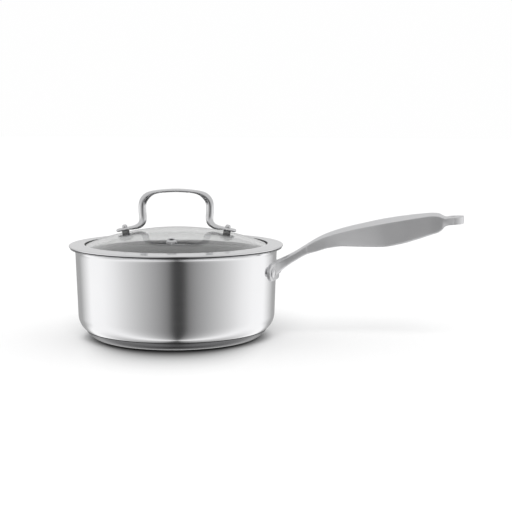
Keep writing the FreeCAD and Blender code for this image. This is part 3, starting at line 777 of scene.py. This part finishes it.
def make_lid_handle():
    """The bent rod, whose ends round off as their distance from the tip runs out."""
    mirrored = [(-row[0], *row[1:]) for row in reversed(LID_HANDLE[1:])]
    rows = spline(mirrored + LID_HANDLE, 10)
    turn = Matrix.Rotation(math.radians(LID_TURN), 4, "Z")
    sections = []
    travel = [0.0]
    for before, after in zip(rows, rows[1:]):
        travel.append(travel[-1] + math.hypot(after[0] - before[0], after[1] - before[1]))
    for index, (x, z, thick, wide, square) in enumerate(rows):
        before, after = rows[max(index - 1, 0)], rows[min(index + 1, len(rows) - 1)]
        along = Vector((after[0] - before[0], 0, after[1] - before[1])).normalized()
        across = Vector((-along.z, 0, along.x))
        tip = min(travel[index], travel[-1] - travel[index])
        wide, thick = rounded_off(wide, tip, 0.02), rounded_off(thick, tip, 0.15)
        section = []
        for step in range(ROD_POINTS):
            angle = 2 * math.pi * step / ROD_POINTS
            cosine, sine = math.cos(angle), math.sin(angle)
            up = math.copysign(abs(cosine) ** (2 / square), cosine) * thick
            out = math.copysign(abs(sine) ** (2 / square), sine) * wide
            section.append(turn @ (Vector((x, 0, z)) + across * up - Vector((0, out, 0))))
        sections.append(section)
    handle = crease(loft("lid_handle_rod", sections), 60)
    finish_piece(handle, "lid", [ROD], ["lid_handle"])


# Each stack, along the glass's normal from its outer surface: the thickness of spacer and foot,
# then heights under the glass and on the foot, then radii.
SPACER, FOOT, GROMMET_TOP = 1.87, 2.8, -4.12
GROMMET_LOW = GROMMET_TOP - 1.9
WASHER_LOW = GROMMET_LOW - 0.9
TAIL_LOW = WASHER_LOW - 1.1
HEAD_LOW = SPACER + FOOT
SHANK, SLEEVE, TAIL, HEAD, WASHER, PAD = 2.0, 2.8, 3.2, 2.4, 5.4, 6.2
STACKS = {
    "lid_spacer": (PALE_SILICONE, "pale_silicone", [
        (SHANK, 0.05, 0.1), (3.5, 0.05, 0.3), (3.2, SPACER, 0.3), (SHANK, SPACER, 0.1)]),
    "lid_grommet": (PALE_SILICONE, "pale_silicone", [
        (SHANK, GROMMET_LOW, 0.1), (PAD, GROMMET_LOW, 0.5), (PAD, GROMMET_TOP, 0.4),
        (SLEEVE, GROMMET_TOP, 0.1), (SLEEVE, -0.05, 0.1), (SHANK, -0.05, 0.1)]),
    "lid_washer": (ROD, "polished_steel", [
        (SHANK, WASHER_LOW, 0.1), (WASHER, WASHER_LOW, 0.25), (WASHER, GROMMET_LOW, 0.15),
        (SHANK, GROMMET_LOW, 0.1)]),
    "lid_rivet": (ROD, "polished_steel", [
        (0.0, TAIL_LOW), (TAIL, TAIL_LOW, 0.5), (TAIL, WASHER_LOW, 0.1), (SHANK, WASHER_LOW, 0.05),
        (SHANK, HEAD_LOW, 0.05), (HEAD, HEAD_LOW, 0.1), (HEAD, HEAD_LOW + 1.7, 1.4),
        (1.2, HEAD_LOW + 2.55, 1.0), (0.0, HEAD_LOW + 2.7)]),
}


def make_stacks():
    """What fastens each foot through the glass."""
    for kind, (material, slot, corners) in STACKS.items():
        for side, angle in (("left", 180), ("right", 0)):
            name = "%s_%s" % (kind, side)
            place = dome_place(FOOT_OFFSET, LID_TURN + angle)
            piece = lathe(name + "_turned", rounded(corners, steps=6), 64, place)
            finish_piece(piece, "lid", [material], [name])


# ---- studio ------------------------------------------------------------------------------------
HANDLE_YAW = 11.0  # the long handle points this far out of the picture plane, towards the camera
CAMERA_PLACE, CAMERA_DOWN, CAMERA_LENS = (0.0709, -1.1514, 0.2099), 6.82, 91.4


def make_camera():
    data = bpy.data.cameras.new("camera")
    data.lens = CAMERA_LENS
    data.sensor_width = 36.0
    data.clip_start, data.clip_end = 0.05, 50.0
    camera = bpy.data.objects.new("camera", data)
    spin = Matrix.Rotation(math.radians(HANDLE_YAW), 4, "Z")
    tilt = Matrix.Rotation(math.radians(90 - CAMERA_DOWN), 4, "X")
    camera.matrix_world = spin @ Matrix.Translation(CAMERA_PLACE) @ tilt
    bpy.context.scene.collection.objects.link(camera)
    bpy.context.scene.camera = camera


class Sums:
    """Number nodes in a node tree.  Each operand is a number or another node's output."""

    def __init__(self, tree):
        self.nodes, self.links = tree.nodes, tree.links

    def feed(self, value, socket):
        """Set a number on a socket, or link an output to it."""
        if isinstance(value, (int, float)):
            socket.default_value = value
        else:
            self.links.new(value, socket)

    def math(self, operation, first, second=0.0):
        """A Math node's result.  Operations on one number ignore the second."""
        node = self.nodes.new("ShaderNodeMath")
        node.operation = operation
        self.feed(first, node.inputs[0])
        self.feed(second, node.inputs[1])
        return node.outputs[0]

    def split(self, vector):
        node = self.nodes.new("ShaderNodeSeparateXYZ")
        self.feed(vector, node.inputs[0])
        return node.outputs

    def along(self, x, y, angle):
        """How far (x, y) reaches in a direction, given by its angle in degrees."""
        turn = math.radians(angle)
        return self.math("ADD", self.math("MULTIPLY", x, math.cos(turn)),
                         self.math("MULTIPLY", y, math.sin(turn)))

    def blend(self, amount, low, high):
        """Go from low to high as the amount goes from 0 to 1."""
        node = self.nodes.new("ShaderNodeMix")
        node.data_type = "FLOAT"
        for socket, value in (("Factor", amount), ("A", low), ("B", high)):
            self.feed(value, node.inputs[socket])
        return node.outputs["Result"]

    def smooth_step(self, value, low, high):
        """Rise smoothly from 0 at low to 1 at high."""
        node = self.nodes.new("ShaderNodeMapRange")
        node.interpolation_type = "SMOOTHSTEP"
        node.inputs["From Min"].default_value = low
        node.inputs["From Max"].default_value = high
        self.feed(value, node.inputs["Value"])
        return node.outputs["Result"]

    def look_up(self, value, table, unit, scale):
        """The table's grey at a value, times a scale.  The table's places are in the given unit."""
        node = self.nodes.new("ShaderNodeValToRGB")
        furthest = table[-1][0]
        self.feed(self.math("DIVIDE", value, furthest * unit), node.inputs["Fac"])
        stops = node.color_ramp.elements
        while len(stops) < len(table):
            stops.new(0.5)
        for stop, (place, grey) in zip(stops, table):
            stop.position = place / furthest
            stop.color = (grey * scale,) * 3 + (1,)
        return node.outputs["Color"]


# How the pot darkens the white table round its foot: distance out from the foot in millimetres,
# and the share of light that is left.  It stands in for a shadow that the soft light here is too
# even to cast, and it reaches furthest towards the front.
FOOT_SHADE = [
    (0, 0.04), (8, 0.065), (12, 0.12), (16, 0.20), (21, 0.28), (25, 0.37), (29, 0.455), (33, 0.53),
    (42, 0.65), (50, 0.74), (59, 0.81), (68, 0.87), (86, 0.95), (110, 1.0),
]
SHADE_START = 67.0  # radius where it starts, at the edge of the flat foot
SHADE_BEHIND, SHADE_FOCUS = 0.19, 4.5  # its reach behind, as a share, and how it gathers in front
FLOOR_HALF_WIDTH, FLOOR_WHITE = 6.0, 0.93


def make_floor():
    mesh = bpy.data.meshes.new("floor")
    far = FLOOR_HALF_WIDTH
    corners = [(-far, -far, 0), (far, -far, 0), (far, far, 0), (-far, far, 0)]
    mesh.from_pydata(corners, [], [(0, 1, 2, 3)])
    floor = bpy.data.objects.new("floor", mesh)
    bpy.context.scene.collection.objects.link(floor)
    shader = Shader("floor_white", Roughness=0.9, Specular_IOR_Level=0.0)
    sums = Sums(shader.material.node_tree)
    length = shader.nodes.new("ShaderNodeVectorMath")
    length.operation = "LENGTH"
    shader.link(shader.place, length, 0)
    radius = length.outputs["Value"]
    x, y, _ = sums.split(shader.place)
    across = sums.along(x, y, HANDLE_YAW - 90)
    facing = sums.math("DIVIDE", across, sums.math("MAXIMUM", radius, 0.001))
    facing = sums.math("POWER", sums.math("MAXIMUM", facing, 0.0), SHADE_FOCUS)
    reach = sums.math("ADD", sums.math("MULTIPLY", facing, 1 - SHADE_BEHIND), SHADE_BEHIND)
    out = sums.math("DIVIDE", sums.math("SUBTRACT", radius, SHADE_START * MM), reach)
    shader.link(sums.look_up(out, FOOT_SHADE, MM, FLOOR_WHITE), shader.surface, "Base Color")
    mesh.materials.append(shader.material)
    floor.visible_glossy = False


def make_sun(spot, spread, strength):
    """A large soft light from one direction."""
    data = bpy.data.lights.new("key", "SUN")
    data.angle = math.radians(spread)
    data.energy = strength
    lamp = bpy.data.objects.new("key", data)
    lamp.location = spot
    lamp.rotation_euler = (-Vector(spot)).to_track_quat("-Z", "Y").to_euler()
    lamp.visible_glossy = False
    bpy.context.scene.collection.objects.link(lamp)


AMBIENT = 0.92  # brightness of the surroundings as they light matt surfaces
BACKDROP = 0.995  # brightness of the surroundings as they are seen
MIRRORED_SKY = 0.74  # brightness that metal mirrors from above the horizon

# Brightness that metal mirrors from below the horizon, by the angle in degrees between the
# mirrored direction and the studio's dark front: dark front, soft grey, white sides, grey back.
SURROUND = [
    (0, 0.055), (5, 0.075), (8, 0.13), (12, 0.24), (20, 0.35), (32, 0.48), (45, 0.62), (60, 0.79),
    (78, 1.01), (95, 1.14), (118, 1.16), (132, 0.80), (146, 0.44), (180, 0.40),
]
DARK_FRONT = HANDLE_YAW - 90 + 5.5  # degrees


def make_world():
    world = bpy.data.worlds.new("studio")
    bpy.context.scene.world = world
    world.use_nodes = True
    nodes = world.node_tree.nodes
    nodes.clear()
    sums = Sums(world.node_tree)
    x, y, z = sums.split(nodes.new("ShaderNodeTexCoord").outputs["Generated"])
    across = sums.along(x, y, DARK_FRONT)
    level = sums.math("ADD", sums.math("MULTIPLY", x, x), sums.math("MULTIPLY", y, y))
    level = sums.math("MAXIMUM", sums.math("SQRT", level), 0.0001)
    # steeply down the pattern is the same in front and behind, so it runs on without a seam
    across = sums.blend(sums.smooth_step(z, -0.90, -0.30), sums.math("ABSOLUTE", across), across)
    turn = sums.math("ARCCOSINE", sums.math("DIVIDE", across, level))
    brightest = max(value for _, value in SURROUND)
    walls = sums.look_up(turn, SURROUND, math.radians(1), 1 / brightest)
    walls = sums.math("MULTIPLY", walls, brightest)
    mirrored = sums.blend(sums.smooth_step(z, -0.10, 0.10), walls, MIRRORED_SKY)
    rays = nodes.new("ShaderNodeLightPath").outputs
    direct = sums.blend(rays["Is Diffuse Ray"], BACKDROP, AMBIENT)
    polished = sums.math("GREATER_THAN", rays["Glossy Depth"], 0.5)
    background = nodes.new("ShaderNodeBackground")
    sums.feed(sums.blend(polished, direct, mirrored), background.inputs["Color"])
    output = nodes.new("ShaderNodeOutputWorld")
    sums.feed(background.outputs[0], output.inputs["Surface"])


make_pot()
make_bracket()
make_grip()
make_handle_rivets()
make_glass()
make_ring()
make_gasket()
make_vent()
make_lid_handle()
make_stacks()
make_camera()
make_floor()
make_world()
make_sun(spot=(0.12, -0.9, 1.0), spread=30.0, strength=0.9)
bpy.context.scene.view_settings.view_transform = "Standard"
